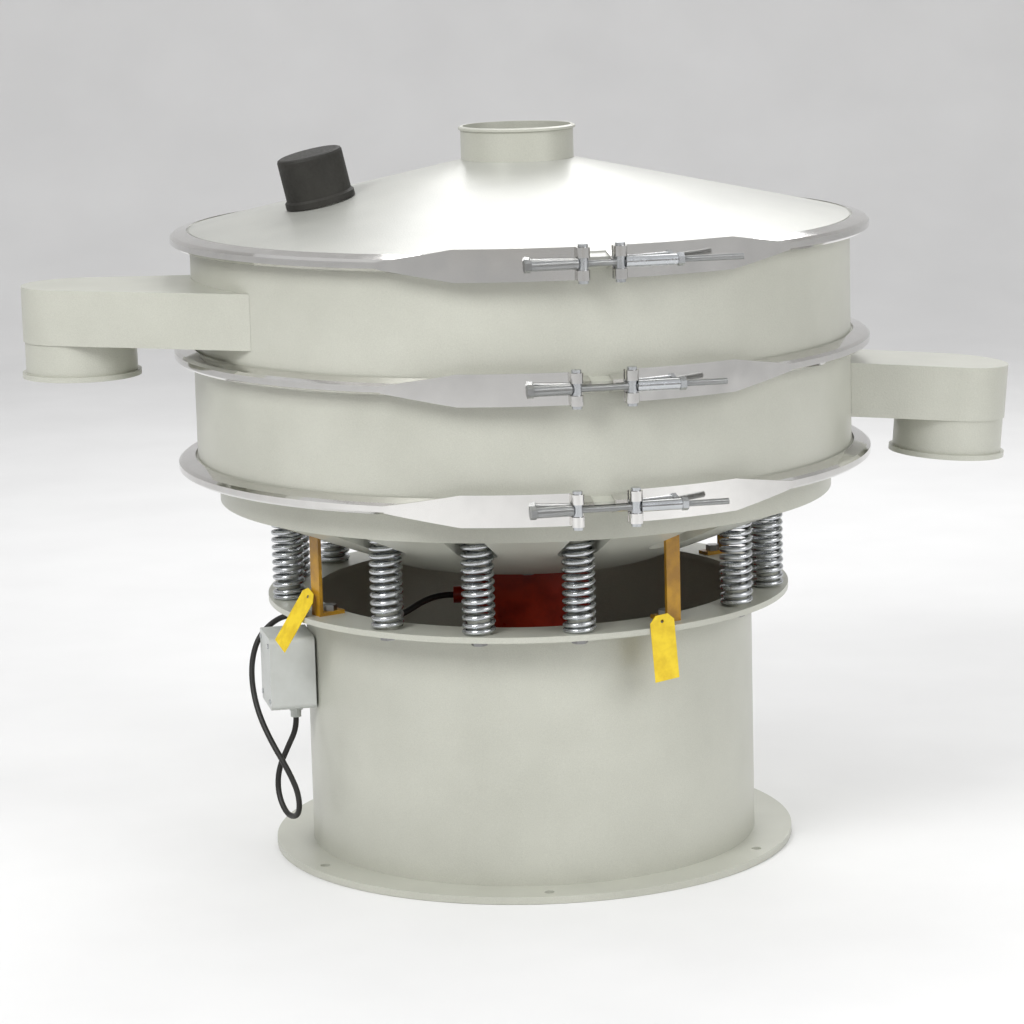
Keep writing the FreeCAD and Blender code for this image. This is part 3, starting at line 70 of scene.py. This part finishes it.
RING_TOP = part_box("spring_ring")[1][2]
DECK_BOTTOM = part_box("table_deck")[0][2]
SPRING_CIRCLE = 0.340
FIRST_SPRING = -33.75
SPRING_STEP = 22.5
SPRING_GROUPS = ("springs_front", "springs_right", "springs_back", "springs_left")
WIRE_RADIUS = 0.0035
COIL_RADIUS = 0.019
ACTIVE_TURNS = 11.4
CLOSURE = math.radians(12)
THREAD_PITCH = 0.00125


def at(station, radius, height):
    """A point by its station in degrees round from the front."""
    angle = math.radians(station)
    return Vector((radius * math.sin(angle), -radius * math.cos(angle), height))


# ---- material tools ----------------------------------------------------------------------------

def new_material(name):
    """An empty node material with its Principled shader."""
    made = bpy.data.materials.new(name)
    made.use_nodes = True
    tree = made.node_tree
    tree.nodes.clear()
    output = tree.nodes.new("ShaderNodeOutputMaterial")
    shader = tree.nodes.new("ShaderNodeBsdfPrincipled")
    tree.links.new(shader.outputs["BSDF"], output.inputs["Surface"])
    return made, tree, shader


def colour(red, green, blue):
    """A screen colour of 0 to 255 as a linear one."""
    linear = []
    for level in (red, green, blue):
        level /= 255
        linear.append(level / 12.92 if level <= 0.04045 else ((level + 0.055) / 1.055) ** 2.4)
    return (*linear, 1.0)


def place_node(tree):
    """Coordinates in metres that stay with the surface."""
    return tree.nodes.new("ShaderNodeTexCoord").outputs["Object"]


def noise(tree, where, scale, detail=2.0, rough=0.5):
    """A noise texture at a scale per metre."""
    texture = tree.nodes.new("ShaderNodeTexNoise")
    texture.inputs["Scale"].default_value = scale
    texture.inputs["Detail"].default_value = detail
    texture.inputs["Roughness"].default_value = rough
    tree.links.new(where, texture.inputs["Vector"])
    return texture.outputs["Fac"]


def cells(tree, where, scale):
    """Distances to the middles of Voronoi cells at a scale per metre."""
    texture = tree.nodes.new("ShaderNodeTexVoronoi")
    texture.inputs["Scale"].default_value = scale
    tree.links.new(where, texture.inputs["Vector"])
    return texture.outputs["Distance"]


def ramp(tree, value, stops):
    """A colour ramp; each stop is a place and a colour or a grey."""
    node = tree.nodes.new("ShaderNodeValToRGB")
    points = node.color_ramp.elements
    while len(points) < len(stops):
        points.new(0.5)
    for point, (place, tone) in zip(points, stops):
        point.position = place
        point.color = tone if isinstance(tone, tuple) else (tone, tone, tone, 1.0)
    tree.links.new(value, node.inputs["Fac"])
    return node.outputs["Color"]


def mix(tree, share, first, second, blend="MIX"):
    """Mix two colours; share may be a number or an output."""
    node = tree.nodes.new("ShaderNodeMix")
    node.data_type = "RGBA"
    node.blend_type = blend
    for socket, value in ((node.inputs[0], share), (node.inputs[6], first), (node.inputs[7], second)):
        if isinstance(value, bpy.types.NodeSocket):
            tree.links.new(value, socket)
        else:
            socket.default_value = value
    return node.outputs[2]


def bump(tree, shader, height, strength, distance):
    """Bump the surface by a height texture."""
    node = tree.nodes.new("ShaderNodeBump")
    node.inputs["Strength"].default_value = strength
    node.inputs["Distance"].default_value = distance
    tree.links.new(height, node.inputs["Height"])
    tree.links.new(node.outputs["Normal"], shader.inputs["Normal"])


def hammertone(name, base, dark, flake_glint_colour):
    """Cream-grey hammer finish: a fine pebbled coat with painted glints of metal flakes and a little
    handling dirt.
    """
    made, tree, shader = new_material(name)
    where = place_node(tree)
    pebbles = cells(tree, where, 420)
    flake_glint_cells = cells(tree, where, 1100)
    fine = noise(tree, where, 900, 2.0, 0.6)
    broad = noise(tree, where, 5, 3.0, 0.55)
    patch = ramp(tree, broad, [(0.35, dark), (0.65, base)])
    grain = ramp(tree, fine, [(0.35, 0.82), (0.7, 1.06)])
    tone = mix(tree, 0.55, patch, grain, "MULTIPLY")
    # Painted glint: near-white specks for the flakes, mixed into the base colour.
    sparkle = ramp(tree, flake_glint_cells, [(0.0, 1.0), (0.16, 0.0)])
    lit = mix(tree, 0.35, (0.0, 0.0, 0.0, 1.0), sparkle)
    tone = mix(tree, lit, tone, flake_glint_colour)
    tree.links.new(tone, shader.inputs["Base Color"])
    rough = ramp(tree, fine, [(0.3, 0.34), (0.75, 0.52)])
    tree.links.new(rough, shader.inputs["Roughness"])
    shader.inputs["Metallic"].default_value = 0.12
    shader.inputs["Coat Weight"].default_value = 0.25
    shader.inputs["Coat Roughness"].default_value = 0.22
    bump(tree, shader, pebbles, 0.22, 0.0006)
    return made


def enamel(name, base, dark, roughness=0.32):
    """Sprayed enamel with slight orange peel and worn patches."""
    made, tree, shader = new_material(name)
    where = place_node(tree)
    broad = noise(tree, where, 30, 4.0, 0.6)
    tone = ramp(tree, broad, [(0.35, dark), (0.6, base)])
    tree.links.new(tone, shader.inputs["Base Color"])
    rough = ramp(tree, broad, [(0.3, roughness - 0.06), (0.8, roughness + 0.16)])
    tree.links.new(rough, shader.inputs["Roughness"])
    shader.inputs["Coat Weight"].default_value = 0.3
    peel = noise(tree, where, 260, 1.0, 0.4)
    bump(tree, shader, peel, 0.12, 0.0004)
    return made


def metal(name, base, roughness, spread, grain, depth):
    """Bare metal with a fine grain, fingerprints and a spread of gloss."""
    made, tree, shader = new_material(name)
    where = place_node(tree)
    fine = noise(tree, where, grain, 3.0, 0.6)
    smears = noise(tree, where, 26, 4.0, 0.6)
    tone = mix(tree, 0.35, base, ramp(tree, smears, [(0.3, 0.72), (0.7, 1.0)]), "MULTIPLY")
    tree.links.new(tone, shader.inputs["Base Color"])
    rough = ramp(tree, smears, [(0.35, roughness), (0.75, roughness + spread)])
    tree.links.new(rough, shader.inputs["Roughness"])
    shader.inputs["Metallic"].default_value = 1.0
    bump(tree, shader, fine, depth, 0.0003)
    return made


def plastic(name, base, shade, roughness, grain=320, depth=0.15, specular=0.5):
    """Moulded plastic or rubber with a fine matt texture and uneven dust."""
    made, tree, shader = new_material(name)
    where = place_node(tree)
    dust = noise(tree, where, 18, 4.0, 0.6)
    tone = ramp(tree, dust, [(0.35, base), (0.75, shade)])
    tree.links.new(tone, shader.inputs["Base Color"])
    fine = noise(tree, where, grain, 2.0, 0.5)
    rough = ramp(tree, fine, [(0.3, roughness - 0.07), (0.7, roughness + 0.08)])
    tree.links.new(rough, shader.inputs["Roughness"])
    shader.inputs["Specular IOR Level"].default_value = specular
    bump(tree, shader, fine, depth, 0.0004)
    return made


def woven_wire(name):
    """Fine woven stainless mesh: crossed waves that read as wires and gaps."""
    made, tree, shader = new_material(name)
    where = place_node(tree)
    heights = []
    for direction in ("X", "Y"):
        wave = tree.nodes.new("ShaderNodeTexWave")
        wave.bands_direction = direction
        wave.inputs["Scale"].default_value = 160
        tree.links.new(where, wave.inputs["Vector"])
        heights.append(wave.outputs["Color"])
    weave = mix(tree, 1.0, heights[0], heights[1], "LIGHTEN")
    tone = ramp(tree, weave, [(0.2, 0.06), (0.6, 0.55)])
    tree.links.new(tone, shader.inputs["Base Color"])
    shader.inputs["Metallic"].default_value = 1.0
    shader.inputs["Roughness"].default_value = 0.35
    bump(tree, shader, weave, 0.6, 0.0006)
    return made


def card(name, base, shade):
    """Coated card of a hanging tag, with faint creases."""
    made, tree, shader = new_material(name)
    where = place_node(tree)
    blot = noise(tree, where, 60, 4.0, 0.6)
    tone = ramp(tree, blot, [(0.35, shade), (0.62, base)])
    tree.links.new(tone, shader.inputs["Base Color"])
    shader.inputs["Roughness"].default_value = 0.5
    crease = noise(tree, where, 35, 2.0, 0.5)
    bump(tree, shader, crease, 0.35, 0.0012)
    return made


def threaded(name, base, axis, pitch):
    """Zinc-plated rod with a fine thread across its axis, its thread roots painted darker as shade.
    """
    made, tree, shader = new_material(name)
    where = place_node(tree)
    along = tree.nodes.new("ShaderNodeVectorMath")
    along.operation = "DOT_PRODUCT"
    along.inputs[1].default_value = axis
    tree.links.new(where, along.inputs[0])
    turns = tree.nodes.new("ShaderNodeMath")
    turns.operation = "MULTIPLY"
    turns.inputs[1].default_value = 2 * math.pi / pitch
    tree.links.new(along.outputs["Value"], turns.inputs[0])
    crest = tree.nodes.new("ShaderNodeMath")
    crest.operation = "SINE"
    tree.links.new(turns.outputs["Value"], crest.inputs[0])
    # Painted shade: the thread roots are coloured at 0.55 of the base.
    painted_root_shade = tuple(0.55 * channel for channel in base[:3]) + (1.0,)
    tone = ramp(tree, crest.outputs["Value"], [(0.0, painted_root_shade), (0.6, base)])
    tree.links.new(tone, shader.inputs["Base Color"])
    shader.inputs["Metallic"].default_value = 1.0
    shader.inputs["Roughness"].default_value = 0.3
    bump(tree, shader, crest.outputs["Value"], 0.7, 0.0005)
    return made


# The third colour of each hammertone is the near-white painted glint of its flakes.
CREAM = hammertone(
    "cream_hammertone", colour(196, 197, 186), colour(186, 187, 176), colour(240, 241, 235))
# Painted shade: the lid takes a darker copy of the cream hammertone because it lies in shade.
SHADED_LID_CREAM = hammertone(
    "lid_hammertone_painted_shade", colour(188, 189, 182), colour(176, 177, 171), colour(236, 237, 233))
RED = enamel("motor_red", colour(178, 44, 16), colour(140, 30, 10))
YELLOW = enamel("bracket_yellow", colour(186, 138, 18), colour(150, 106, 12), 0.45)
POLISHED = metal("polished_stainless", (0.74, 0.73, 0.71, 1.0), 0.05, 0.09, 700, 0.03)
ZINC = metal("zinc_plate", (0.58, 0.60, 0.62, 1.0), 0.2, 0.14, 900, 0.08)
DULL_ZINC = metal("dull_zinc", (0.34, 0.34, 0.34, 1.0), 0.38, 0.2, 700, 0.12)
STEEL = metal("turned_steel", (0.42, 0.42, 0.42, 1.0), 0.28, 0.16, 1200, 0.1)
THREAD_AXIS = (math.cos(CLOSURE), math.sin(CLOSURE), 0)
THREAD = threaded("clamp_thread", (0.55, 0.56, 0.56, 1.0), THREAD_AXIS, THREAD_PITCH)
MESH = woven_wire("woven_mesh")
GREY_PLASTIC = plastic("grey_abs", colour(203, 206, 203), colour(190, 193, 189), 0.42)
BLACK_RUBBER = plastic("black_rubber", colour(42, 41, 38), colour(56, 55, 51), 0.62, 240, 0.25, 0.3)
CABLE_BLACK = plastic("cable_black", colour(34, 33, 31), colour(46, 45, 43), 0.45, 500, 0.1, 0.4)
# Painted shade: the white gaskets are coloured dark grey so the flange joints read as shadow lines.
GASKET_PAINTED_SHADE = plastic("gasket_painted_joint_shade", colour(60, 60, 58), colour(80, 80, 77), 0.7, 300, 0.2, 0.3)
TAG_YELLOW = card("tag_yellow", colour(238, 208, 40), colour(220, 186, 26))

NODE_MATERIALS = {
    "lid_cone": SHADED_LID_CREAM,
    "motor_housing": RED,
    "motor_flange": RED,
    "motor_end_cover": RED,
    "motor_gland": RED,
    "transit_brackets": YELLOW,
    "bracket_tags": TAG_YELLOW,
    "port_cap": BLACK_RUBBER,
    "junction_box": GREY_PLASTIC,
    "junction_box_cover": GREY_PLASTIC,
    "cable_gland": GREY_PLASTIC,
    "junction_box_screws": ZINC,
    "cable_bush": BLACK_RUBBER,
    "power_cable": CABLE_BLACK,
    "motor_lead": CABLE_BLACK,
    "screen_mesh": MESH,
    "screen_ring": STEEL,
    "screen_gasket": GASKET_PAINTED_SHADE,
    "base_gasket": GASKET_PAINTED_SHADE,
    "lid_gasket": GASKET_PAINTED_SHADE,
    "spring_bolts": DULL_ZINC,
    "transit_bracket_bolts": DULL_ZINC,
    "motor_bolts": DULL_ZINC,
    "motor_shaft": STEEL,
    "upper_weight": DULL_ZINC,
    "lower_weight": DULL_ZINC,
    "clamp_bolts": THREAD,
}
for level in ("top", "middle", "bottom"):
    NODE_MATERIALS[f"clamp_band_{level}"] = POLISHED
    NODE_MATERIALS[f"clamp_straps_{level}"] = POLISHED
    NODE_MATERIALS[f"clamp_sleeve_{level}"] = ZINC
    NODE_MATERIALS[f"clamp_nut_{level}"] = ZINC
NODE_MATERIALS["clamp_trunnions"] = ZINC

for name, item in nodes.items():
    item.data.materials.clear()
    item.data.materials.append(NODE_MATERIALS.get(name, CREAM))


# ---- mesh tools --------------------------------------------------------------------------------

def mesh_object(name, builder, material):
    """An object from a bmesh, smooth shaded."""
    mesh = bpy.data.meshes.new(name)
    builder.to_mesh(mesh)
    builder.free()
    for face in mesh.polygons:
        face.use_smooth = True
    mesh.materials.append(material)
    made = bpy.data.objects.new(name, mesh)
    scene.collection.objects.link(made)
    return made


def add_tube(builder, points, radius, sides=12):
    """A round tube along close points, with closed ends."""
    rings = []
    normal = None
    for index, point in enumerate(points):
        ahead = points[min(index + 1, len(points) - 1)]
        behind = points[max(index - 1, 0)]
        tangent = (ahead - behind).normalized()
        if normal is None:
            normal = tangent.orthogonal().normalized()
        normal = (normal - tangent * normal.dot(tangent)).normalized()
        side = tangent.cross(normal)
        ring = []
        for step in range(sides):
            turn = 2 * math.pi * step / sides
            outwards = math.cos(turn) * normal + math.sin(turn) * side
            ring.append(builder.verts.new(point + radius * outwards))
        rings.append(ring)
    for first, second in zip(rings, rings[1:]):
        for step in range(sides):
            following = (step + 1) % sides
            builder.faces.new((first[step], first[following], second[following], second[step]))
    builder.faces.new(list(reversed(rings[0])))
    builder.faces.new(rings[-1])


def nurbs_route(name, points, resolution):
    """A smooth NURBS curve along a route."""
    curve = bpy.data.curves.new(name, "CURVE")
    curve.dimensions = "3D"
    curve.resolution_u = resolution
    spline = curve.splines.new("NURBS")
    spline.points.add(len(points) - 1)
    for slot, point in zip(spline.points, points):
        slot.co = (*point, 1.0)
    spline.order_u = 3
    spline.use_endpoint_u = True
    return curve


def spline_points(name, points):
    """Close points along the smooth curve of a route."""
    curve = nurbs_route(name + "_route", points, 24)
    holder = bpy.data.objects.new(name + "_route", curve)
    mesh = bpy.data.meshes.new_from_object(holder)
    line = [vertex.co.copy() for vertex in mesh.vertices]
    bpy.data.objects.remove(holder)
    bpy.data.curves.remove(curve)
    bpy.data.meshes.remove(mesh)
    return line


# ---- springs -----------------------------------------------------------------------------------

STEPS_PER_TURN = 36
GROUND_SHARE = 0.55


def coil_points(centre, start):
    """The centre line of a spring with one closed turn at each end, between ring and deck."""
    low = RING_TOP + WIRE_RADIUS * GROUND_SHARE
    high = DECK_BOTTOM - WIRE_RADIUS * GROUND_SHARE
    closed = 2 * WIRE_RADIUS
    pitch = (high - low - 2 * closed) / ACTIVE_TURNS
    total = ACTIVE_TURNS + 2
    steps = int(total * STEPS_PER_TURN)
    points = []
    for step in range(steps + 1):
        turn = total * step / steps
        if turn < 1:
            height = closed * turn
        elif turn > total - 1:
            height = (high - low) - closed * (total - turn)
        else:
            height = closed + pitch * (turn - 1)
        angle = start + 2 * math.pi * turn
        out = Vector((COIL_RADIUS * math.cos(angle), COIL_RADIUS * math.sin(angle), 0))
        points.append(centre + out + Vector((0, 0, low + height)))
    return points


for quarter, group in enumerate(SPRING_GROUPS):
    coils = bmesh.new()
    for number in range(3):
        station = FIRST_SPRING + 90 * quarter + SPRING_STEP * number
        first_angle = 1.3 * number + 0.4
        line = coil_points(at(station, SPRING_CIRCLE, 0), first_angle)
        add_tube(coils, line, WIRE_RADIUS)
    for vertex in coils.verts:
        vertex.co.z = min(max(vertex.co.z, RING_TOP), DECK_BOTTOM)
    piece = mesh_object("coils_" + group.split("_")[1], coils, ZINC)
    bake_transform(piece)
    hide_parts(group)


# ---- cables ------------------------------------------------------------------------------------

CABLE_RADIUS = 0.004
LEAD_RADIUS = 0.0045
GLAND_STATION = -78
BUSH_STATION = -86
LEAD_STATION = -90
DRUM_RADIUS = 0.3145
BUSH_HEIGHT = 0.330
BUSH_OUT = DRUM_RADIUS + 0.006
BUSH_IN = DRUM_RADIUS - 0.010
LOOP_REACH = 0.080
GLAND_RUN = 0.017
BUSH_RUN = 0.021
GLAND_RADIUS = 0.3377
GLAND_HEIGHT = 0.194
MOTOR_GLAND = 0.106
MOTOR_GLAND_HEIGHT = 0.348

# station, reach beyond the drum as a share of the loop's reach, height as a share of the bush's
CABLE_BENDS = (
    (-78.31, 0.447, 0.4576),
    (-78.47, 0.636, 0.3576),
    (-77.44, 0.666, 0.2545),
    (-73.53, 0.566, 0.1758),
    (-67.99, 0.471, 0.2),
    (-66.73, 0.498, 0.303),
    (-68.99, 0.635, 0.4061),
    (-72.35, 0.811, 0.503),
    (-75.96, 0.965, 0.6121),
    (-79.82, 1.022, 0.7152),
    (-83.6, 1.0, 0.8091),
    (-87.02, 0.875, 0.897),
    (-87.88, 0.622, 0.9606),
)
# station, share of the way from the motor's gland to the bush, height as a share of the bush's
LEAD_BENDS = (
    (-86.11, 0.2083, 1.0394),
    (-80.11, 0.3456, 1.003),
    (-77.56, 0.5184, 0.9697),
    (-79.06, 0.6872, 0.9576),
    (-83.09, 0.8057, 0.9758),
)

power_points = [
    at(GLAND_STATION, GLAND_RADIUS, GLAND_HEIGHT),
    at(GLAND_STATION, GLAND_RADIUS, GLAND_HEIGHT - GLAND_RUN),
    *(at(turn, DRUM_RADIUS + LOOP_REACH * out, BUSH_HEIGHT * up) for turn, out, up in CABLE_BENDS),
    at(BUSH_STATION, BUSH_OUT + BUSH_RUN, BUSH_HEIGHT),
    at(BUSH_STATION, BUSH_OUT, BUSH_HEIGHT),
]
lead_points = [
    at(LEAD_STATION, MOTOR_GLAND, MOTOR_GLAND_HEIGHT),
    at(LEAD_STATION, MOTOR_GLAND + GLAND_RUN, MOTOR_GLAND_HEIGHT),
    *(at(turn, MOTOR_GLAND + (BUSH_IN - MOTOR_GLAND) * out, BUSH_HEIGHT * up)
      for turn, out, up in LEAD_BENDS),
    at(BUSH_STATION, BUSH_IN - BUSH_RUN, BUSH_HEIGHT),
    at(BUSH_STATION, BUSH_IN, BUSH_HEIGHT),
]

route = nurbs_route("power_cable_loop", power_points, 16)
route.bevel_depth = CABLE_RADIUS
route.bevel_resolution = 6
route.use_fill_caps = True
route.materials.append(CABLE_BLACK)
cable = bpy.data.objects.new("power_cable_loop", route)
scene.collection.objects.link(cable)
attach(cable, "base")
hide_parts("power_cable")

lead = bmesh.new()
add_tube(lead, spline_points("motor_lead_tube", lead_points), LEAD_RADIUS)
lead = mesh_object("motor_lead_tube", lead, CABLE_BLACK)
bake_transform(lead)
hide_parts("motor_lead")


# ---- camera, floor and light ---------------------------------------------------------------------

CAMERA_PLACE = Vector((0, -4.8683, 1.346))
CAMERA_PITCH = math.radians(10.264)
CAMERA_YAW = math.radians(-0.2377)
CAMERA_ROLL = math.radians(-1.5026)
CAMERA_LENS = 123.46

FLOOR_FRONT = -9.0
FLOOR_BEND = 5.0
FLOOR_CURVE = 2.0
FLOOR_TOP = 9.0
FLOOR_SIDE = 12.0
FLOOR_DROP = 0.0005

# name, place, target, size, power
LIGHTS = (
    ("key", (-2.2, -3.2, 3.4), (0, 0, 0.6), 1.8, 130),
    ("fill", (3.2, -2.4, 2.2), (0, 0, 0.5), 2.4, 60),
    ("back", (0.5, 3.0, 3.2), (0, 0, 0.6), 2.2, 60),
)


def look():
    """The camera at the viewing angle of the reference."""
    pitch, yaw, roll = CAMERA_PITCH, CAMERA_YAW, CAMERA_ROLL
    ahead = Vector((math.sin(yaw), math.cos(yaw), 0))
    right = Vector((math.cos(yaw), -math.sin(yaw), 0))
    forward = ahead * math.cos(pitch) + Vector((0, 0, -math.sin(pitch)))
    up = ahead * math.sin(pitch) + Vector((0, 0, math.cos(pitch)))
    level_right = right * math.cos(roll) + up * math.sin(roll)
    level_up = up * math.cos(roll) - right * math.sin(roll)
    data = bpy.data.cameras.new("camera")
    data.lens = CAMERA_LENS
    data.sensor_width = 36
    data.clip_end = 50
    made = bpy.data.objects.new("camera", data)
    turn = Matrix((level_right, level_up, -forward)).transposed().to_4x4()
    made.matrix_world = Matrix.Translation(CAMERA_PLACE) @ turn
    scene.collection.objects.link(made)
    scene.camera = made


def area(name, place, target, size, power):
    """A soft square light."""
    data = bpy.data.lights.new(name, "AREA")
    data.shape = "SQUARE"
    data.size = size
    data.energy = power
    made = bpy.data.objects.new(name, data)
    made.location = place
    made.rotation_euler = (Vector(target) - Vector(place)).to_track_quat("-Z", "Y").to_euler()
    scene.collection.objects.link(made)


def floor():
    """A plain pale floor that curves up behind."""
    builder = bmesh.new()
    profile = [(FLOOR_FRONT, 0.0), (FLOOR_BEND, 0.0)]
    for step in range(1, 13):
        angle = math.radians(90 * step / 12)
        back = FLOOR_BEND + FLOOR_CURVE * math.sin(angle)
        profile.append((back, FLOOR_CURVE - FLOOR_CURVE * math.cos(angle)))
    profile.append((FLOOR_BEND + FLOOR_CURVE, FLOOR_TOP))
    lines = []
    for side in (-FLOOR_SIDE, FLOOR_SIDE):
        lines.append([builder.verts.new((side, y, z - FLOOR_DROP)) for y, z in profile])
    for index in range(len(profile) - 1):
        corners = (lines[0][index], lines[1][index], lines[1][index + 1], lines[0][index + 1])
        builder.faces.new(corners)
    made, tree, shader = new_material("pale_floor")
    stain = noise(tree, place_node(tree), 3, 3)
    tree.links.new(ramp(tree, stain, [(0.3, 0.80), (0.7, 0.84)]), shader.inputs["Base Color"])
    shader.inputs["Roughness"].default_value = 0.8
    mesh_object("floor", builder, made)


def world():
    """Soft room light: bright above, a warm dim band at eye level."""
    made = bpy.data.worlds.new("studio")
    scene.world = made
    made.use_nodes = True
    tree = made.node_tree
    tree.nodes.clear()
    output = tree.nodes.new("ShaderNodeOutputWorld")
    background = tree.nodes.new("ShaderNodeBackground")
    tree.links.new(background.outputs[0], output.inputs[0])
    direction = tree.nodes.new("ShaderNodeTexCoord").outputs["Generated"]
    split = tree.nodes.new("ShaderNodeSeparateXYZ")
    tree.links.new(direction, split.inputs[0])
    band = ramp(tree, split.outputs["Z"], [
        (0.0, (0.62, 0.60, 0.57, 1.0)), (0.06, (0.20, 0.17, 0.14, 1.0)),
        (0.22, (0.34, 0.31, 0.28, 1.0)), (0.45, (0.85, 0.86, 0.88, 1.0)), (0.9, (1.0, 1.0, 1.0, 1.0)),
    ])
    tree.links.new(band, background.inputs["Color"])
    background.inputs["Strength"].default_value = 0.75


look()
floor()
world()
for light in LIGHTS:
    area(*light)

scene.view_settings.view_transform = "Standard"
